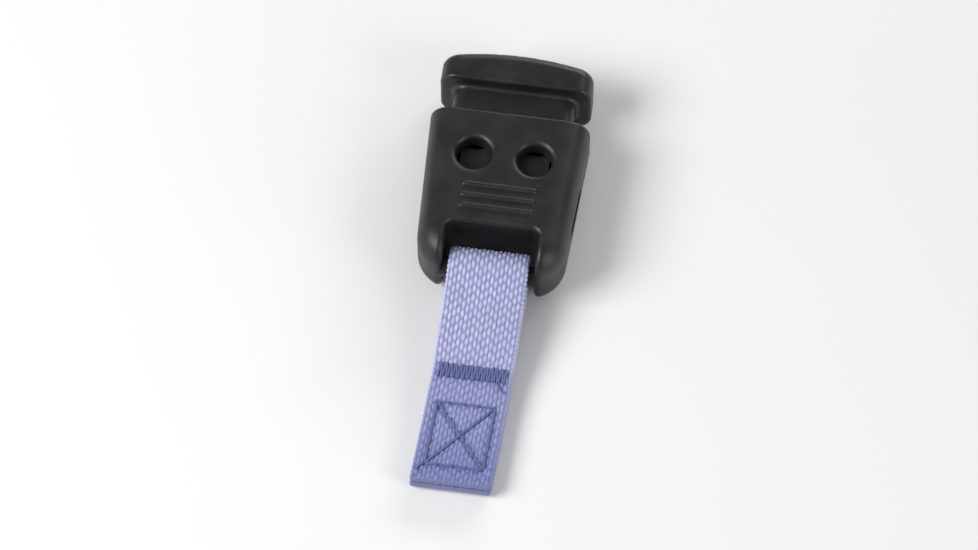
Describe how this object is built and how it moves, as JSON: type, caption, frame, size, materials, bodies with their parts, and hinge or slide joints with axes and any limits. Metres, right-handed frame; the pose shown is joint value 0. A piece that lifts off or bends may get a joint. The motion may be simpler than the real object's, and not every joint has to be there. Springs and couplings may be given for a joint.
{
  "type": "cord lock",
  "caption": "Sprung cord lock: press the head to free the cords, let go to grip them. A folded webbing tab on a crossbar sews the lock to a bag.",
  "frame": {"origin": "on the barrel's flat back face, midway between the two cord holes", "axes": "+X across the barrel, +Y along the plunger towards its thumb head, +Z from the flat back face to the ribbed front face; the lock lies on its back"},
  "size_m": [0.02, 0.0571, 0.0103],
  "materials": {
    "barrel_plastic": "fine moulded texture",
    "plunger_plastic": "satin moulded",
    "spring_steel": "drawn wire",
    "webbing": "plain woven webbing",
    "thread": "twisted polyester thread"
  },
  "bodies": {
    "barrel": {"barrel": "barrel_plastic", "spring_left": "spring_steel", "spring_right": "spring_steel"},
    "plunger": {"plunger": "plunger_plastic"},
    "tab": {"anchor_tab": "webbing", "bar_tack": "thread", "tail_stitch": "thread"}
  },
  "joints": [
    {"name": "plunger_slide", "type": "slide", "parent": "barrel", "child": "plunger", "axis": [0, -1, 0], "range_m": [0, 0.004], "stiffness_N_per_m": 2200, "springref_m": -0.003, "deforming": ["spring_left", "spring_right"]},
    {"name": "tab_swing", "type": "hinge", "parent": "barrel", "child": "tab", "pos_m": [0, -0.0136, 0.005], "axis": [-1, 0, 0], "range_deg": [0, 115]}
  ]
}
